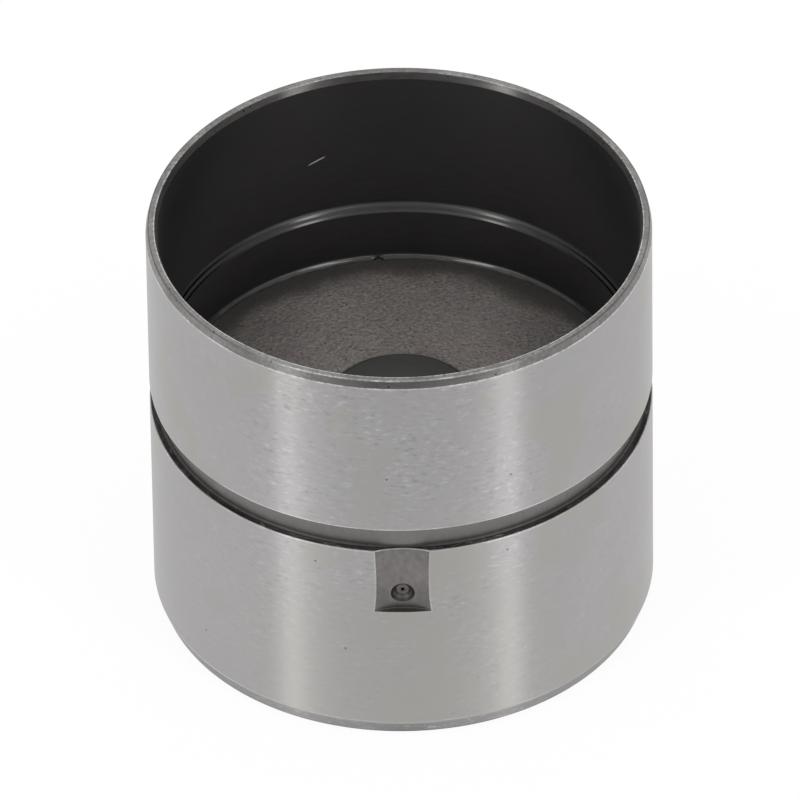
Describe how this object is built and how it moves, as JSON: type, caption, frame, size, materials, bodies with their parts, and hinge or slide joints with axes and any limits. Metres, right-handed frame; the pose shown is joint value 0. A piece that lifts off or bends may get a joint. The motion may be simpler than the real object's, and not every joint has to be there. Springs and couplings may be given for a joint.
{
  "type": "hydraulic bucket tappet",
  "caption": "Hydraulic bucket tappet: ground steel cup with oil groove and feed hole, a web with a sliding lash adjuster inside.",
  "frame": {"origin": "centre of the cam face, on the tappet's axis", "axes": "+Z along the tappet's axis from the cam face to the open skirt and the valve; -Y through the oil pocket and its feed hole"},
  "size_m": [0.035, 0.035, 0.0316],
  "materials": {
    "ground_steel": "ground outside, dark oxide inside",
    "web_steel": "matte, as hardened",
    "lapped_steel": "fine lapped, darkened by oil",
    "ball_steel": "polished",
    "cap_sheet_steel": "bright pressed sheet",
    "spring_steel": "drawn wire"
  },
  "bodies": {
    "bucket": {"bucket_body": "ground_steel", "guide_sleeve": "web_steel", "piston": "lapped_steel", "valve_cap": "cap_sheet_steel", "return_spring": "spring_steel", "check_spring": "spring_steel"},
    "adjuster": {"inner_housing": "lapped_steel"},
    "ball": {"check_ball": "ball_steel"}
  },
  "joints": [
    {"name": "adjuster_slide", "type": "slide", "parent": "bucket", "child": "adjuster", "axis": [0, 0, -1], "range_m": [0, 0.002], "stiffness_N_per_m": 6000, "springref_m": -0.003, "deforming": ["return_spring"]},
    {"name": "ball_lift", "type": "slide", "parent": "bucket", "child": "ball", "axis": [0, 0, 1], "range_m": [0, 0.00035], "stiffness_N_per_m": 300, "springref_m": -0.0005, "deforming": ["check_spring"]}
  ]
}
